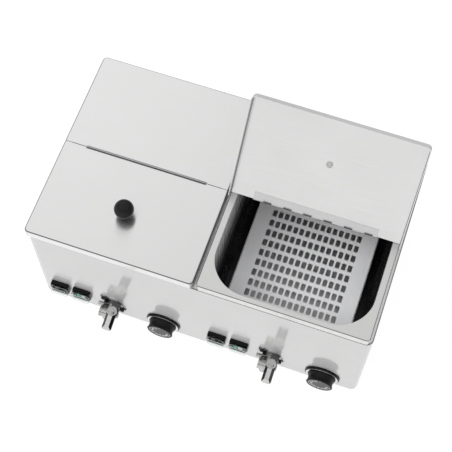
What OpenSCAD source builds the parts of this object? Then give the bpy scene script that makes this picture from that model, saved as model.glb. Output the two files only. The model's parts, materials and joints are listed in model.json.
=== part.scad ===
// Countertop sausage warmer with two water tanks side by side.
// Built with the front panel's outer face at y = 0 and its bottom edge at z = 0,
// then moved so that the whole stands on z = 0 round the middle of its own box.

/* [Housing] */
// Width of the housing over both side walls
body_w = 540; // [520:2:600]
// Depth of the housing from the front panel to the rear wall
body_d = 324; // [316:2:360]
// Height of the housing from its bottom edge to its flat top
body_h = 217; // [210:1:250]
// Thickness of the stainless sheet
sheet = 1.2; // [0.9:0.1:1.5]
// Radius of the housing's upright corners
body_corner = 11; // [6:1:14]
// Outer radius of the bend from wall to top
body_bend = 2.5; // [2:0.1:4]
// Width of the returns turned inwards along the bottom edge
return_w = 14; // [10:1:20]

/* [Feet] */
// Height of the rubber feet
foot_h = 22; // [15:1:35]
// Diameter of a foot at the top
foot_d = 40; // [30:1:44]
// Distance of the feet's centres from the outer walls
foot_inset = 46; // [40:1:70]

/* [Tanks] */
// Height of the folded tank rim over the housing's top
rim_h = 15; // [13:0.5:20]
// Outer radius of the rim's folded edge
rim_bend = 1.8; // [1.6:0.1:2.4]
// Depth of the tank from its rim to its floor
tank_depth = 150; // [140:1:155]
// Plan radius of the tank's corners
tank_corner = 58; // [45:1:65]
// Radius between tank wall and floor
tank_fillet = 14; // [8:1:20]
// Width of the rim's flat beside the opening
flange_side = 10; // [8:0.5:14]
// Width of the rim's flat in front of and behind the opening
flange_front = 7.6; // [6:0.2:12]

/* [Covers] */
// Gap between the two covers' skirts
cover_between = 3; // [2.4:0.2:6]
// How far the left cover stands proud of the left wall
cover_over = 0.6; // [0:0.1:1.5]
// How far the covers stand proud of the front panel and the rear wall
cover_proud = 1.2; // [0.8:0.1:2]
// Plan radius of the covers' corners
cover_corner = 7; // [6:0.5:10]
// Outer radius of the covers' folded edge
cover_bend = 2.6; // [2:0.1:3]
// Gap between the fixed rear cover and the front lid
cover_split = 1; // [0.8:0.1:1.4]
// Angle at which an open lid leans back
open_angle = 129; // [100:1:132]

/* [Piano hinge] */
// Length of the hinge
hinge_len = 194; // [175:1:205]
// Radius of the hinge barrel
barrel_r = 2; // [1.8:0.1:2.2]
// Radius of the hinge pin
hinge_pin_r = 0.9; // [0.7:0.1:1]
// Thickness of a hinge leaf
leaf_t = 0.8; // [0.6:0.1:0.9]
// Reach of a hinge leaf from the pin
leaf_reach = 12.6; // [10:0.2:16]
// Distance from one fixed knuckle to the next
knuckle_pitch = 31.6; // [30:0.2:33]
// Length of a knuckle on the fixed leaf
knuckle_len = 12.5; // [10:0.5:15]
// Length of the lid's first knuckle
knuckle_first = 16; // [14:0.5:18]

/* [Lid knob] */
// Radius of the ball
ball_r = 15; // [12:0.5:18]
// Height of the ball's centre over the lid
ball_lift = 18.5; // [18.5:0.5:22]
// Radius of the ball's neck
neck_r = 5.5; // [4.5:0.5:7]
// Distance of the knob from the hinge pin
knob_reach = 89; // [75:1:110]
// Radius of the screw's shank
knob_screw_r = 2.5; // [2:0.1:3]

/* [Perforated insert] */
// Gap between the insert and each side of the tank's opening
insert_side = 21.5; // [20:0.5:32]
// Depth of the insert
insert_d = 288; // [260:2:294]
// Height of the insert's plate over the tank floor
insert_h = 34; // [25:1:45]
// Plan radius of the plate's corners
insert_corner = 18; // [16:1:24]
// Outer radius of the fold between plate and legs
insert_bend = 3; // [2:0.5:5]
// Width of a slot
slot_w = 7.2; // [5:0.2:8]
// Length of a slot
slot_l = 11.8; // [9:0.1:14]
// Distance between slot columns
slot_pitch_x = 10.1; // [9.5:0.1:12]
// Distance between slot rows
slot_pitch_y = 18; // [16:0.5:22]
// Plain margin beside the slots
slot_margin = 24; // [20:1:30]
// How far the insert lies in front of the tank's middle
insert_forward = 2.4; // [0:0.2:4]

/* [Control panel] */
// Height of the switches' centres
switch_z = 44; // [40:1:60]
// Place of the rocker switch beside the tank's middle, as a share of the tanks' pitch
switch_share = -0.365; // [-0.385:0.005:-0.355]
// Place of the pilot lamps beside the tank's middle, as a share of the tanks' pitch
lamp_share = -0.226; // [-0.236:0.002:-0.216]
// Width of a switch frame
frame_w = 30.5; // [28:0.5:33]
// Height of a switch frame
frame_h = 25; // [23:0.5:28]
// How far a switch frame stands out of the panel
frame_out = 9; // [8:0.5:11]
// Tilt of a rocker to either side
rocker_tilt = 6; // [4:0.5:8]
// Place of the thermostat dial beside the tank's middle, as a share of the tanks' pitch
dial_share = 0.2925; // [0.26:0.0025:0.3325]
// Height of the dial's centre
dial_z = 29; // [29:0.5:40]
// Radius of the dial's bezel
bezel_r = 28.8; // [26:0.2:29]
// Thickness of the bezel
bezel_t = 4; // [3:0.5:5]
// Radius of the dial knob at its foot
dial_foot_r = 22.6; // [20:0.2:23]
// Radius of the dial knob at its face
dial_face_r = 21.6; // [19:0.2:22]
// Distance from the panel to the dial's face
dial_out = 19.6; // [17:0.2:26]

/* [Drain tap] */
// Place of the tap beside the tank's middle, as a share of the tanks' pitch
tap_share = -0.0275; // [-0.0425:0.0025:0]
// Height of the tap's inlet
tap_z = 41.5; // [38:0.5:48]
// Distance across the tap nut's corners, halved
tap_nut_r = 16.4; // [15:0.2:16.8]
// Distance from the panel to the valve's stem
stem_out = 19.5; // [19:0.5:23]
// Offset of the valve's stem from the inlet
stem_shift = 6; // [5:0.5:7]
// Radius of the valve chamber
chamber_r = 8.2; // [8:0.1:8.6]
// Length of the lever from stem to tip
lever_len = 31; // [28:1:40]
// Width of the lever
lever_w = 16; // [13:0.5:16]
// Slope of the lever below level
lever_slope = 15; // [8:1:20]

/* [Hidden] */
$fn = 64;

// Overrun of every cut past the face it goes through
cut = 1;
// Gap round a part that turns or slides closely
run_clear = 0.05;
// Gap between parts that lie on each other without touching
seat_clear = 0.3;
// Gap round a part that drops loosely into its hole
loose_clear = 0.5;

// Covers and rim, worked out from the housing
pitch = body_w / 2;
cover_w = pitch - cover_between;
rim_top = body_h + rim_h;
cover_top = rim_top + seat_clear + sheet;
skirt_bottom = body_h + seat_clear;
rim_w = cover_w - 2 * (sheet + seat_clear);
rim_front = sheet + seat_clear - cover_proud;
rim_d = body_d - 2 * rim_front;
rim_corner = cover_corner - sheet - seat_clear;
opening_w = rim_w - 2 * flange_side;
opening_d = rim_d - 2 * flange_front;
insert_w = opening_w - 2 * insert_side;
floor_top = rim_top - tank_depth;
floor_under = floor_top - sheet;
mid_y = body_d / 2;
hinge_y = mid_y;
hinge_z = cover_top;
// Round relief at the rim's folded corners
relief_r = 1.7;
relief_drop = 5;
relief_x = (rim_w - rim_bend) / 2;
relief_y = (rim_d - rim_bend) / 2;

// Places of the controls beside the tank's middle
switch_x = switch_share * pitch;
lamp_x = lamp_share * pitch;
dial_x = dial_share * pitch;
tap_x = tap_share * pitch;

// Middle of each tank, left then right
function tank_x(u) = -pitch - cover_over + u * pitch + cover_w / 2;

// Lid knob
knob_y = hinge_y - knob_reach;
neck_top = ball_lift - ball_r / 2;
screw_head_r = 4.6;
screw_head_t = 2.2;
cross_l = 5;
cross_w = 1.1;
cross_depth = 1.3;
screw_depth = ball_lift - ball_r / 4;

// Hinge
slot_clear = 0.4;
barrel_clear = 0.5;
knuckle_gap = 0.4;
leaf_z = cover_top - sheet - leaf_t;
knuckle_count = floor((hinge_len - knuckle_first - knuckle_len) / knuckle_pitch) + 1;

// Feet and base
foot_taper = 3;
foot_base_d = foot_d - 2 * foot_taper;
foot_pad_r = 3;
base_fit = 0.4;
screw_hole_h = 16;
vent_w = 4;
vent_l = 46;
vent_pitch = 11;
vent_rows = 9;
screw_r = 2;
screw_head = 3.6;
screw_len = 7;
screw_cap = 1.6;

// Tank
drain_r = 7;
drain_y = 44;
stud_r = 3;
stud_reach = 62;
well_clear = 2.5;

// Heater under the floor
heat_r = 4.2;
heat_run = 74;
heat_turn_r = 24;
heat_y = mid_y + heat_turn_r / 4;
heat_tail = 26;
heat_pin_r = 1.5;
heat_pin_len = 12;
clamp_t = 1.6;
clamp_w = 178;
clamp_d = 66;
clamp_corner = 6;
clamp_top = floor_under - 2 * heat_r;
clamp_nut_r = 5.6;
clamp_nut_t = 4;
bulb_r = 3;
bulb_len = 78;
bulb_y = 88;
cutout_r = 8;
cutout_h = 11;
cutout_flange_r = 12;
cutout_flange_t = 1.5;
cutout_y = heat_y + clamp_d + cutout_flange_r;
cutout_tab_w = 6;
cutout_tab_h = 8;

// Insert
leg_inset = 28;
slot_corner = 2;

// Drain pipe and tap
pipe_r = 8;
pipe_bore_r = 6.5;
pipe_bend_r = 15;
spigot_r = 8;
spigot_bore_r = 5;
spigot_len = 15;
locknut_r = 13;
locknut_t = 5;
panel_hole_clear = 0.3;
flange_t = 2.2;
flange_r = 16.6;
ear_reach = 21.6;
ear_r = 6;
ear_angle = 135;
ear_screw_r = 1.8;
ear_head_r = 3.2;
ear_head_t = 3;
tap_nut_t = 7.4;
tap_nut_turn = 25;
chamber_left = 15.4;
chamber_right = 15.2;
chamber_ball_r = 8.6;
chamber_plug_r = 4.6;
chamber_collar = 3;
chamber_collar_r = 9;
valve_ball_r = 6.6;
valve_bore_r = 4;
vent_screw_r = 3.6;
vent_screw_reach = 22.5;
vent_screw_y = 5.4;
spout_shift = 7;
spout_r = 7;
spout_drop = 23;
spout_tip_r = 6.2;
spout_tip = 7;
nut_face_r = 15;
nut_slope_share = 1.7;
stem_r = 3;
boss_r = 5.2;
boss_h = 9.4;
hub_r = 8;
hub_h = 4.4;
lever_t = 6.4;
lever_top_w = 7;
lever_side_h = 2.2;
lever_corner = 4;
lever_tip = 6;
stem_nut_r = 4.4;
stem_nut_t = 4;
lever_z = boss_h + seat_clear + hub_h / 2;

// Switches and lamps
frame_corner = 3;
frame_step = 2.6;
frame_rim = 1.4;
switch_body_w = 27;
switch_body_h = 21.4;
switch_body_d = 24;
switch_fit = 0.3;
pocket_w = 21.4;
pocket_h = 16.4;
pocket_d = 8;
rocker_w = 18.4;
rocker_h = 15.4;
rocker_dip = 1.6;
rocker_out = 7.4;
rocker_pivot = 1.5;
rocker_back = 4;
trunnion_r = 1.5;
trunnion_len = 1.2;
lens_w = 8;
lens_h = 16;
lens_out = 8;
lens_crown_r = 14;
lens_gap = 0.3;
cap_inset = 0.5;
cap_w = frame_w - 2 * cap_inset;
cap_h = frame_h - 2 * cap_inset;
cap_out = 4.8;
cap_t = 0.8;
cap_corner = 4.8;
cap_bend = 2.4;
terminal_w = 4.8;
terminal_t = 0.8;
terminal_len = 9;

// Dial
ring_edge = 2.2;
ring_w = 3.4;
ring_r = bezel_r - ring_edge;
ring_bore_r = ring_r - ring_w;
ring_t = 1.1;
ring_sink = 0.5;
dial_foot_gap = 0.6;
dial_dish = 0.9;
dial_lip = 2.2;
dial_plate_r = dial_face_r - dial_lip;
dial_waist_depth = 1.3;
dial_waist_arc = 10.4;
dial_waist_share = 0.56;
dial_plate_t = 0.6;
dial_edge = 1.2;
spindle_r = 3;
spindle_seat = 9;
bush_r = 5;
bush_out = 3;
thermo_w = 34;
thermo_h = 30;
thermo_d = 26;
thermo_corner = 5;

// Cable gland and terminal block
gland_inset = 94;
gland_x = body_w / 2 - gland_inset;
gland_z = 42;
gland_r = 10;
gland_hex_r = 13.8;
gland_hex_t = 5.5;
gland_dome_r = 11.4;
gland_dome_l = 12;
gland_bore_r = 4.2;
gland_mouth_r = 8.4;
gland_nut_t = 5;
gland_inside = 9;
block_w = 46;
block_d = 20;
block_h = 17;
block_way_r = 2.6;
block_ways = 4;
block_margin = 8;
block_y = 44;

// Reach in front of the panel and behind the rear wall, for the frame's middle
lever_front = stem_out + lever_len * cos(lever_slope) + (lever_side_h - lever_t / 2) * sin(lever_slope);
gland_rear = gland_hex_t + gland_dome_l;
shift_x = cover_over / 2;
shift_y = (lever_front - body_d - gland_rear) / 2;

module placed() {
    translate([shift_x, shift_y, foot_h]) children();
}

// Moves a part from an upright lid to the pose it has at rest
module lid_pose(u) {
    turn = u == 0 ? 0 : open_angle;
    translate([0, hinge_y, hinge_z]) rotate([-turn, 0, 0])
        translate([0, -hinge_y, -hinge_z]) children();
}

// Half outline of a pan, with its round lower edge
module edge_profile(reach, fillet, h) {
    square([reach - fillet, h]);
    translate([0, fillet]) square([reach, h - fillet]);
    translate([reach - fillet, fillet]) circle(fillet);
}

// Solid pan with round upright corners and a round lower edge, middle at x = y = 0
module pan(w, d, h, corner, fillet) {
    x = w / 2 - corner;
    y = d / 2 - corner;
    for (sx = [-1, 1], sy = [-1, 1])
        translate([sx * x, sy * y, 0]) rotate_extrude() edge_profile(corner, fillet, h);
    for (side = [0, 1])
        rotate([90, 0, 0]) translate([0, 0, -y]) linear_extrude(2 * y)
            mirror([side, 0]) edge_profile(w / 2, fillet, h);
    for (side = [0, 1])
        rotate([90, 0, 90]) translate([0, 0, -x]) linear_extrude(2 * x)
            mirror([side, 0]) edge_profile(d / 2, fillet, h);
}

// The same pan turned over, with its flat on top at z = 0
module cap_pan(w, d, h, corner, fillet) {
    mirror([0, 0, 1]) pan(w, d, h, corner, fillet);
}

module round_rect(w, d, corner) {
    square([w - 2 * corner, d], center = true);
    square([w, d - 2 * corner], center = true);
    for (sx = [-1, 1], sy = [-1, 1])
        translate([sx * (w / 2 - corner), sy * (d / 2 - corner)]) circle(corner);
}

// Stands a flat outline on the front panel, growing out of it towards the viewer
module on_panel(x, z, from, to) {
    translate([x, -from, z]) rotate([90, 0, 0]) linear_extrude(to - from) children();
}

// Hexagonal nut whose outer corners are turned off at a slant
module hex_nut(r, t, face_r) {
    intersection() {
        cylinder(h = t, r = r, $fn = 6);
        cylinder(h = t, r1 = face_r + t * nut_slope_share, r2 = face_r);
    }
}

module rod_x(x1, x2, y, z, r) {
    translate([x1, y, z]) rotate([0, 90, 0]) cylinder(h = x2 - x1, r = r);
}

module rod_y(x, y1, y2, z, r) {
    translate([x, y2, z]) rotate([90, 0, 0]) cylinder(h = y2 - y1, r = r);
}

// Housing: front, sides and rear wrapped from one sheet, with a flat top
module housing_shell() {
    color("gainsboro") placed() difference() {
        union() {
            difference() {
                translate([0, mid_y, body_h]) cap_pan(body_w, body_d, body_h, body_corner, body_bend);
                translate([0, mid_y, body_h - sheet])
                    cap_pan(body_w - 2 * sheet, body_d - 2 * sheet, body_h, body_corner - sheet,
                        body_bend - sheet);
            }
            bottom_returns();
        }
        for (u = [0, 1]) {
            well_hole(u);
            panel_holes(u);
        }
        rod_y(gland_x, body_d - sheet - cut, body_d + cut, gland_z, gland_r + panel_hole_clear);
        base_screw_places() translate([0, 0, -cut]) cylinder(h = screw_hole_h, r = screw_r + run_clear);
    }
}

module bottom_returns() {
    translate([0, mid_y, sheet]) linear_extrude(sheet) difference() {
        round_rect(body_w - sheet, body_d - sheet, body_corner);
        round_rect(body_w - 2 * return_w, body_d - 2 * return_w, body_corner);
    }
}

module well_hole(u) {
    translate([tank_x(u), mid_y, body_h - sheet - cut]) linear_extrude(sheet + 2 * cut)
        round_rect(opening_w + 2 * (sheet + well_clear), opening_d + 2 * (sheet + well_clear),
            tank_corner + sheet + well_clear);
}

module panel_holes(u) {
    x = tank_x(u);
    for (place = [switch_x, lamp_x])
        on_panel(x + place, switch_z, -sheet - cut, cut)
            square([switch_body_w + 2 * switch_fit, switch_body_h + 2 * switch_fit], center = true);
    rod_y(x + dial_x, -cut, sheet + cut, dial_z, bush_r + panel_hole_clear);
    rod_y(x + tap_x, -cut, sheet + cut, tap_z, spigot_r + panel_hole_clear);
    for (side = [0, 1]) ear_place(u, side)
        translate([0, -cut, 0]) rod_y(0, 0, sheet + 2 * cut, 0, ear_screw_r + run_clear);
}

module base_screw_places() {
    x = body_w / 2 - return_w / 2;
    y = body_d / 2 - return_w / 2;
    for (sx = [-1, 1], part = [-1, 0, 1])
        translate([sx * x, mid_y + part * (y - return_w), 0]) children();
    for (sy = [-1, 1], part = [-1, 1])
        translate([part * x / 2, mid_y + sy * y, 0]) children();
}

// Base plate: closes the housing from below, with ventilation slots
module base_plate() {
    w = body_w - 2 * (sheet + base_fit);
    d = body_d - 2 * (sheet + base_fit);
    color("silver") placed() difference() {
        translate([0, mid_y, 0]) linear_extrude(sheet) round_rect(w, d, body_corner);
        for (sx = [-1, 1], row = [0 : vent_rows - 1])
            translate([sx * pitch / 2, mid_y + (row - (vent_rows - 1) / 2) * vent_pitch, -cut])
                linear_extrude(sheet + 2 * cut) stadium(vent_l, vent_w);
        base_screw_places() translate([0, 0, -cut]) cylinder(h = screw_hole_h, r = screw_r + run_clear);
        foot_places() translate([0, 0, -cut]) cylinder(h = sheet + 2 * cut, r = screw_r + run_clear);
    }
}

// Slot with round ends, lying along x
module stadium(l, w) {
    square([l - w, w], center = true);
    for (s = [-1, 1]) translate([s * (l - w) / 2, 0]) circle(w / 2);
}

module foot_places() {
    for (sx = [-1, 1], y = [foot_inset, body_d - foot_inset])
        translate([sx * (body_w / 2 - foot_inset), y, 0]) children();
}

// Feet: turned rubber, each held by one screw up its middle
module feet() {
    color("dimgray") placed() foot_places() difference() {
        rotate_extrude() {
            polygon([
                [0, 0], [foot_d / 2, 0], [foot_d / 2, -foot_pad_r],
                [foot_base_d / 2, -foot_h + foot_pad_r], [foot_base_d / 2 - foot_pad_r, -foot_h],
                [0, -foot_h]
            ]);
            translate([foot_base_d / 2 - foot_pad_r, -foot_h + foot_pad_r]) circle(foot_pad_r);
        }
        translate([0, 0, -foot_h - cut]) cylinder(h = foot_h / 2 + cut, r = screw_head + loose_clear);
        translate([0, 0, -foot_h]) cylinder(h = foot_h + cut, r = screw_r + run_clear);
    }
}

// Screws of the feet and of the base plate
module base_screws() {
    color("darkgray") placed() {
        foot_places() {
            translate([0, 0, -foot_h / 2]) cylinder(h = foot_h / 2 + sheet + screw_cap, r = screw_r);
            translate([0, 0, -foot_h / 2 - screw_cap]) cylinder(h = screw_cap, r = screw_head);
        }
        base_screw_places() {
            translate([0, 0, 0]) cylinder(h = screw_len, r = screw_r);
            translate([0, 0, -screw_cap]) cylinder(h = screw_cap, r = screw_head);
        }
    }
}

// Tank: folded rim, straight walls, round floor edge and a drain hole
module tank(u) {
    color("whitesmoke") placed() translate([tank_x(u), 0, 0]) difference() {
        union() {
            difference() {
                translate([0, mid_y, rim_top]) cap_pan(rim_w, rim_d, rim_h, rim_corner, rim_bend);
                translate([0, mid_y, rim_top - sheet])
                    cap_pan(rim_w - 2 * sheet, rim_d - 2 * sheet, rim_h, rim_corner - sheet,
                        rim_bend - sheet);
            }
            translate([0, mid_y, floor_under])
                pan(opening_w + 2 * sheet, opening_d + 2 * sheet, rim_top - floor_under - sheet / 2,
                    tank_corner + sheet, tank_fillet + sheet);
            for (s = [-1, 1]) translate([s * stud_reach, heat_y, clamp_top - clamp_t - clamp_nut_t - cut])
                cylinder(h = floor_under - clamp_top + clamp_t + clamp_nut_t + cut + sheet / 2, r = stud_r);
        }
        translate([0, mid_y, floor_top])
            pan(opening_w, opening_d, tank_depth + cut, tank_corner, tank_fillet);
        translate([tap_x, drain_y, floor_under - cut]) cylinder(h = sheet + 2 * cut, r = drain_r);
        for (sx = [-1, 1], sy = [-1, 1])
            translate([sx * relief_x, mid_y + sy * relief_y, rim_top - relief_drop])
                cylinder(h = relief_drop + cut, r = relief_r);
    }
}

// One cover over the whole tank, before it is cut at the hinge
module whole_cover(u) {
    d = body_d + 2 * cover_proud;
    h = cover_top - skirt_bottom;
    translate([tank_x(u), mid_y, cover_top]) difference() {
        cap_pan(cover_w, d, h, cover_corner, cover_bend);
        translate([0, 0, -sheet])
            cap_pan(cover_w - 2 * sheet, d - 2 * sheet, h, cover_corner - sheet, cover_bend - sheet);
    }
}

// Space round the hinge barrel, cut out of both halves of the cover
module barrel_notch(u) {
    r = barrel_r + barrel_clear;
    translate([tank_x(u) - hinge_len / 2 - barrel_clear, hinge_y - r, hinge_z - sheet - cut])
        cube([hinge_len + 2 * barrel_clear, 2 * r, sheet + 2 * cut]);
}

module half_space(y1, y2) {
    translate([-body_w, y1, body_h - rim_h]) cube([2 * body_w, y2 - y1, 3 * rim_h]);
}

// Rear cover: stays on the tank and carries the hinge
module rear_cover(u) {
    color("lightgray") placed() difference() {
        whole_cover(u);
        half_space(-mid_y, hinge_y + cover_split / 2);
        barrel_notch(u);
    }
}

// Front lid: folded tray that turns on the hinge
module front_lid(u) {
    color("lightgray") placed() lid_pose(u) difference() {
        whole_cover(u);
        half_space(hinge_y - cover_split / 2, body_d + mid_y);
        barrel_notch(u);
        translate([tank_x(u), knob_y, cover_top - sheet - cut])
            cylinder(h = sheet + 2 * cut, r = knob_screw_r + run_clear);
    }
}

function knuckle_start(k) = -hinge_len / 2 + knuckle_first + k * knuckle_pitch;

module barrel(x1, x2) {
    rod_x(x1, x2, hinge_y, hinge_z, barrel_r);
}

module pin_bore() {
    rod_x(-hinge_len / 2 - cut, hinge_len / 2 + cut, hinge_y, hinge_z, hinge_pin_r + run_clear);
}

// Fixed leaf: welded under the rear cover, with every second knuckle
module fixed_leaf(u) {
    color("darkgray") placed() translate([tank_x(u), 0, 0]) difference() {
        union() {
            translate([-hinge_len / 2, hinge_y + barrel_r + barrel_clear, leaf_z])
                cube([hinge_len, leaf_reach - barrel_r - barrel_clear, leaf_t]);
            for (k = [0 : knuckle_count - 1]) {
                x = knuckle_start(k);
                barrel(x, x + knuckle_len);
                translate([x, hinge_y, leaf_z]) cube([knuckle_len, leaf_reach, leaf_t]);
            }
        }
        pin_bore();
    }
}

// Lid leaf: welded under the lid, its knuckles between those of the fixed leaf
module lid_leaf(u) {
    color("darkgray") placed() lid_pose(u) translate([tank_x(u), 0, 0]) difference() {
        union() {
            translate([-hinge_len / 2, hinge_y - leaf_reach, leaf_z])
                cube([hinge_len, leaf_reach, leaf_t]);
            barrel(-hinge_len / 2, hinge_len / 2);
        }
        for (k = [0 : knuckle_count - 1]) {
            x = knuckle_start(k) - knuckle_gap;
            translate([x, hinge_y - barrel_r - slot_clear, hinge_z - 2 * barrel_r])
                cube([knuckle_len + 2 * knuckle_gap, 2 * (barrel_r + slot_clear), 4 * barrel_r]);
        }
        pin_bore();
    }
}

module hinge_pin(u) {
    x = tank_x(u) - hinge_len / 2;
    color("gray") placed() rod_x(x, x + hinge_len, hinge_y, hinge_z, hinge_pin_r);
}

// Ball knob: moulded ball with a short neck
module lid_ball(u) {
    color("#1c1c1c") placed() lid_pose(u) translate([tank_x(u), knob_y, cover_top]) difference() {
        union() {
            translate([0, 0, ball_lift]) sphere(ball_r);
            cylinder(h = neck_top, r = neck_r);
        }
        translate([0, 0, -cut]) cylinder(h = screw_depth + cut, r = knob_screw_r);
    }
}

// Screw that holds the ball from under the lid
module lid_screw(u) {
    color("silver") placed() lid_pose(u) translate([tank_x(u), knob_y, cover_top - sheet]) difference() {
        union() {
            translate([0, 0, -screw_head_t / 2]) cylinder(h = screw_head_t / 2, r = screw_head_r);
            translate([0, 0, -screw_head_t])
                cylinder(h = screw_head_t / 2, r1 = screw_head_r * 3 / 4, r2 = screw_head_r);
            cylinder(h = sheet + screw_depth, r = knob_screw_r);
        }
        for (turn = [0, 90]) rotate(turn)
            translate([-cross_l / 2, -cross_w / 2, -screw_head_t - cut])
                cube([cross_l, cross_w, cross_depth + cut]);
    }
}

// Perforated insert: false bottom on two folded legs
module perforated_insert(u) {
    leg_len = insert_d - 2 * leg_inset;
    window_l = leg_len / 4;
    window_h = insert_h / 2;
    columns = floor((insert_w - 2 * slot_margin - slot_w) / slot_pitch_x) + 1;
    rows = floor((insert_d - slot_margin - slot_l) / slot_pitch_y);
    color("gainsboro") placed() translate([tank_x(u), mid_y - insert_forward, floor_top]) difference() {
        union() {
            translate([0, 0, insert_h - sheet]) linear_extrude(sheet)
                round_rect(insert_w - 2 * insert_bend, insert_d, insert_corner - insert_bend);
            rotate([90, 0, 0]) translate([0, 0, -leg_len / 2]) linear_extrude(leg_len) insert_section();
        }
        for (i = [0 : columns - 1], j = [0 : rows - 1])
            translate([
                (i - (columns - 1) / 2) * slot_pitch_x, (j - (rows - 1) / 2) * slot_pitch_y,
                insert_h - sheet - cut
            ])
                linear_extrude(sheet + 2 * cut) round_rect(slot_w, slot_l, slot_corner);
        for (part = [-1, 0, 1])
            translate([-insert_w, part * leg_len / 3 - window_l / 2, -cut])
                cube([2 * insert_w, window_l, window_h + cut]);
    }
}

// Cross-section of the insert: a plate with two round folds and two legs
module insert_section() {
    for (side = [0, 1]) mirror([side, 0]) {
        translate([0, insert_h - sheet]) square([insert_w / 2 - insert_bend, sheet]);
        translate([insert_w / 2 - sheet, 0]) square([sheet, insert_h - insert_bend]);
        translate([insert_w / 2 - insert_bend, insert_h - insert_bend]) intersection() {
            difference() {
                circle(insert_bend);
                circle(insert_bend - sheet);
            }
            square(insert_bend);
        }
    }
}

// Tubular heater: one hairpin pressed to the tank's floor
module heater(u) {
    color("#8a8178") placed() translate([tank_x(u), heat_y, floor_under - heat_r]) {
        for (s = [-1, 1]) {
            rod_x(-heat_run - heat_tail, heat_run, s * heat_turn_r, 0, heat_r);
            rod_x(-heat_run - heat_tail - heat_pin_len, -heat_run, s * heat_turn_r, 0, heat_pin_r);
        }
        translate([heat_run, 0, 0]) rotate([0, 0, -90]) rotate_extrude(angle = 180)
            translate([heat_turn_r, 0]) circle(heat_r);
    }
}

// Clamp plate and its two nuts: press the heater to the floor on the tank's studs
module heater_clamp(u) {
    color("darkgray") placed() translate([tank_x(u), heat_y, clamp_top - clamp_t]) difference() {
        union() {
            linear_extrude(clamp_t) round_rect(clamp_w, clamp_d, clamp_corner);
            for (s = [-1, 1]) translate([s * stud_reach, 0, -clamp_nut_t])
                cylinder(h = clamp_nut_t + clamp_t / 2, r = clamp_nut_r, $fn = 6);
        }
        for (s = [-1, 1]) translate([s * stud_reach, 0, -clamp_nut_t - cut])
            cylinder(h = clamp_nut_t + clamp_t + 2 * cut, r = stud_r + run_clear);
    }
}

// Overheat cut-outs: a button thermostat on each tank's floor
module overheat_cutouts() {
    color("#2b2b2b") placed() for (u = [0, 1]) translate([tank_x(u), cutout_y, floor_under]) {
        translate([0, 0, -cutout_flange_t]) cylinder(h = cutout_flange_t, r = cutout_flange_r);
        translate([0, 0, -cutout_h]) cylinder(h = cutout_h, r = cutout_r);
        for (s = [-1, 1])
            translate([s * cutout_r / 2 - terminal_t / 2, -cutout_tab_w / 2, -cutout_h - cutout_tab_h])
                cube([terminal_t, cutout_tab_w, cutout_tab_h + cutout_flange_t]);
    }
}

// Thermostat bulbs: copper rods clipped under the floors
module sensor_bulbs() {
    color("peru") placed() for (u = [0, 1])
        rod_x(tank_x(u) - bulb_len / 2, tank_x(u) + bulb_len / 2, bulb_y, floor_under - bulb_r, bulb_r);
}

// Thermostat: switch block behind the panel, turned by its spindle
module thermostat(u) {
    x = tank_x(u) + dial_x;
    color("#3a3a3a") placed() difference() {
        union() {
            on_panel(x, dial_z, -sheet - thermo_d, -sheet) round_rect(thermo_w, thermo_h, thermo_corner);
            rod_y(x, -bush_out, sheet + cut, dial_z, bush_r);
            for (s = [-1, 1])
                translate([x + s * thermo_w / 4 - terminal_w / 2, sheet + thermo_d, dial_z])
                    cube([terminal_w, terminal_len, terminal_t]);
        }
        rod_y(x, -bush_out - cut, spindle_seat, dial_z, spindle_r + run_clear);
    }
}

// Drain pipe: from the tank's floor down and forward to the tap
module drain_pipe(u) {
    color("silver") placed() translate([tank_x(u) + tap_x, 0, 0]) difference() {
        drain_run(pipe_r, 0);
        drain_run(pipe_bore_r, cut);
    }
}

module drain_run(r, extra) {
    front = sheet + spigot_len;
    translate([0, drain_y, tap_z + pipe_bend_r])
        cylinder(h = floor_under - tap_z - pipe_bend_r + extra * sheet / 2, r = r);
    translate([0, drain_y - pipe_bend_r, tap_z + pipe_bend_r]) rotate([0, 90, 0]) rotate_extrude(angle = 90)
        translate([pipe_bend_r, 0]) circle(r);
    rod_y(0, front - extra * sheet, drain_y - pipe_bend_r, tap_z, r);
}

module ear_place(u, side) {
    a = ear_angle + 180 * side;
    translate([tank_x(u) + tap_x + ear_reach * cos(a), 0, tap_z + ear_reach * sin(a)]) children();
}

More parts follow.
